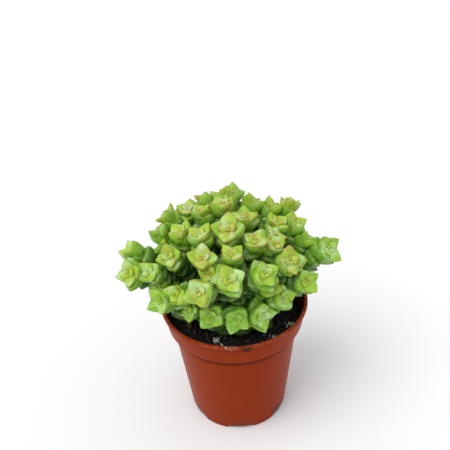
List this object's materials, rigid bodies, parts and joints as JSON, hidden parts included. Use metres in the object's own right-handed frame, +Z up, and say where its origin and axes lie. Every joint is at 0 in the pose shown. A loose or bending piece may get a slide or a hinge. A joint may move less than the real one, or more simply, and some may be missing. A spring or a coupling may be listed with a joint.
{
  "type": "potted succulent",
  "caption": "Small trailing succulent with stacked fleshy leaf pairs, growing in a tapered plastic nursery pot filled with dark potting soil.",
  "frame": {"origin": "on the ground under the middle of the plant's and pot's common footprint, which is the pot's own axis", "axes": "+Z up, square to the ground; +Y to the back, away from the side the shoots lean to; +X to the right seen from the front"},
  "size_m": [0.0855, 0.0608, 0.0989],
  "materials": {
    "pot_plastic": "satin",
    "potting_soil": "matte",
    "perlite": "matte",
    "leaf_flesh": "satin"
  },
  "bodies": {
    "root": {"perlite_1": "perlite", "perlite_2": "perlite", "perlite_3": "perlite", "pot": "pot_plastic", "shoot_01": "leaf_flesh", "shoot_02": "leaf_flesh", "shoot_03": "leaf_flesh", "shoot_04": "leaf_flesh", "shoot_05": "leaf_flesh", "shoot_06": "leaf_flesh", "shoot_07": "leaf_flesh", "shoot_08": "leaf_flesh", "shoot_09": "leaf_flesh", "shoot_10": "leaf_flesh", "shoot_11": "leaf_flesh", "shoot_12": "leaf_flesh", "shoot_13": "leaf_flesh", "shoot_14": "leaf_flesh", "shoot_15": "leaf_flesh", "shoot_16": "leaf_flesh", "shoot_17": "leaf_flesh", "shoot_18": "leaf_flesh", "shoot_19": "leaf_flesh", "shoot_20": "leaf_flesh", "shoot_21": "leaf_flesh", "shoot_22": "leaf_flesh", "shoot_23": "leaf_flesh", "shoot_24": "leaf_flesh", "shoot_25": "leaf_flesh", "shoot_26": "leaf_flesh", "shoot_27": "leaf_flesh", "shoot_28": "leaf_flesh", "shoot_29": "leaf_flesh", "shoot_30": "leaf_flesh", "shoot_31": "leaf_flesh", "shoot_32": "leaf_flesh", "shoot_33": "leaf_flesh", "shoot_34": "leaf_flesh", "shoot_35": "leaf_flesh", "shoot_36": "leaf_flesh", "shoot_37": "leaf_flesh", "shoot_38": "leaf_flesh", "shoot_39": "leaf_flesh", "shoot_40": "leaf_flesh", "shoot_41": "leaf_flesh", "shoot_42": "leaf_flesh", "shoot_43": "leaf_flesh", "shoot_44": "leaf_flesh", "shoot_45": "leaf_flesh", "shoot_46": "leaf_flesh", "shoot_47": "leaf_flesh", "shoot_48": "leaf_flesh", "shoot_49": "leaf_flesh", "shoot_50": "leaf_flesh", "shoot_51": "leaf_flesh", "shoot_52": "leaf_flesh", "soil": "potting_soil"}
  },
  "joints": []
}
